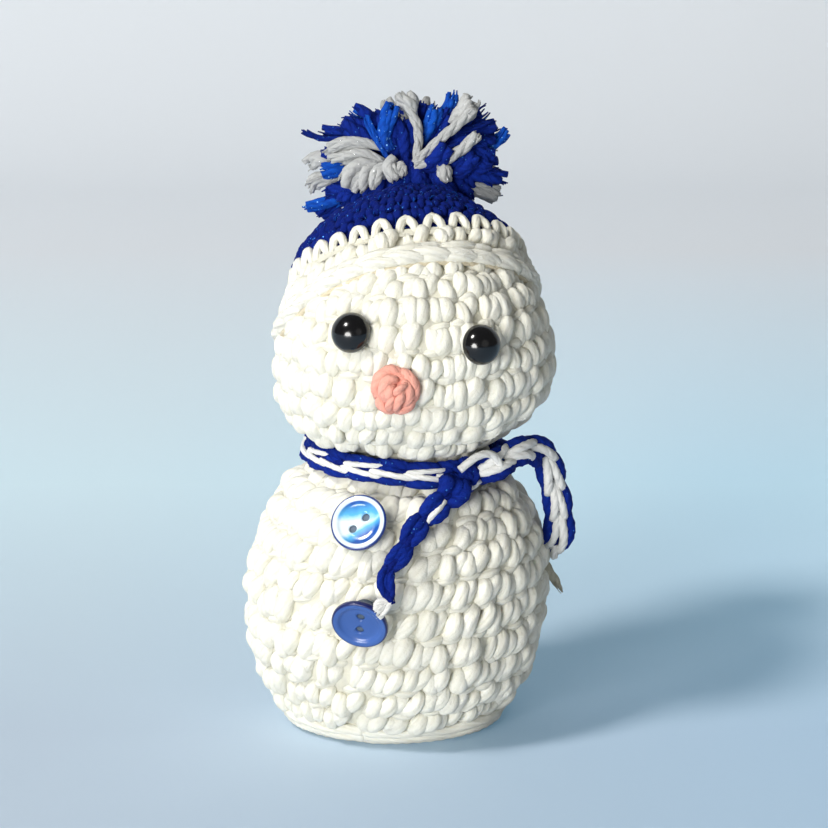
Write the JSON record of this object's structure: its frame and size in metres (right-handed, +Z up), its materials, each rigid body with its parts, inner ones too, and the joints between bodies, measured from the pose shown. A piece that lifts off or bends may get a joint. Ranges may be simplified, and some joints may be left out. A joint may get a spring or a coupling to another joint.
{
  "type": "crochet snowman decoration",
  "caption": "Stuffed crochet snowman with a lift-off pompom hat, a turning two-colour scarf, round safety eyes, a nub nose and coat buttons.",
  "frame": {"origin": "centre of the flat base, on the floor", "axes": "+Z up, the buttons and the face look towards -Y, +X is the viewer's right"},
  "size_m": [0.0661, 0.0808, 0.1323],
  "materials": {
    "white_yarn": "matt off-white cotton yarn",
    "cream_yarn": "stiff cream cut yarn end",
    "blue_yarn": "royal blue yarn with a fine glitter thread",
    "mixed_yarn": "chain of one blue glitter strand and one white strand",
    "pink_yarn": "matt salmon pink yarn",
    "filling": "loose white fibre filling",
    "black_plastic": "polished black",
    "washer_plastic": "translucent white",
    "pearl_button": "pearly blue, polished",
    "blue_button": "plain periwinkle blue, satin",
    "glue": "clear set glue",
    "card": "plain stiff card"
  },
  "bodies": {
    "figure": {"body_cover": "white_yarn", "body_stuffing": "filling", "base_disc": "card", "neck_seam": "white_yarn", "body_yarn_tail": "cream_yarn", "head_cover": "white_yarn", "head_stuffing": "filling", "eye_left": "black_plastic", "eye_washer_left": "washer_plastic", "eye_right": "black_plastic", "eye_washer_right": "washer_plastic", "nose": "pink_yarn", "button_upper": "pearl_button", "button_glue_upper": "glue", "button_lower": "blue_button", "button_glue_lower": "glue"},
    "hat": {"hat_brim": "white_yarn", "hat_crown": "blue_yarn", "pompom_blue": "blue_yarn", "pompom_white": "white_yarn", "pompom_tie": "blue_yarn"},
    "scarf": {"scarf_wrap": "mixed_yarn", "scarf_knot": "mixed_yarn", "scarf_front_tail": "mixed_yarn", "scarf_side_tail": "mixed_yarn", "scarf_front_tuft": "white_yarn", "scarf_side_tuft": "mixed_yarn"}
  },
  "joints": [
    {"name": "hat_lift", "type": "slide", "parent": "figure", "child": "hat", "axis": [-0.2879, 0.488, 0.824], "range_m": [0, 0.04]},
    {"name": "scarf_turn", "type": "hinge", "parent": "figure", "child": "scarf", "pos_m": [0.00332, 0, 0.05751], "axis": [0.0576, 0, 0.9983], "range_deg": [0, 180]}
  ]
}
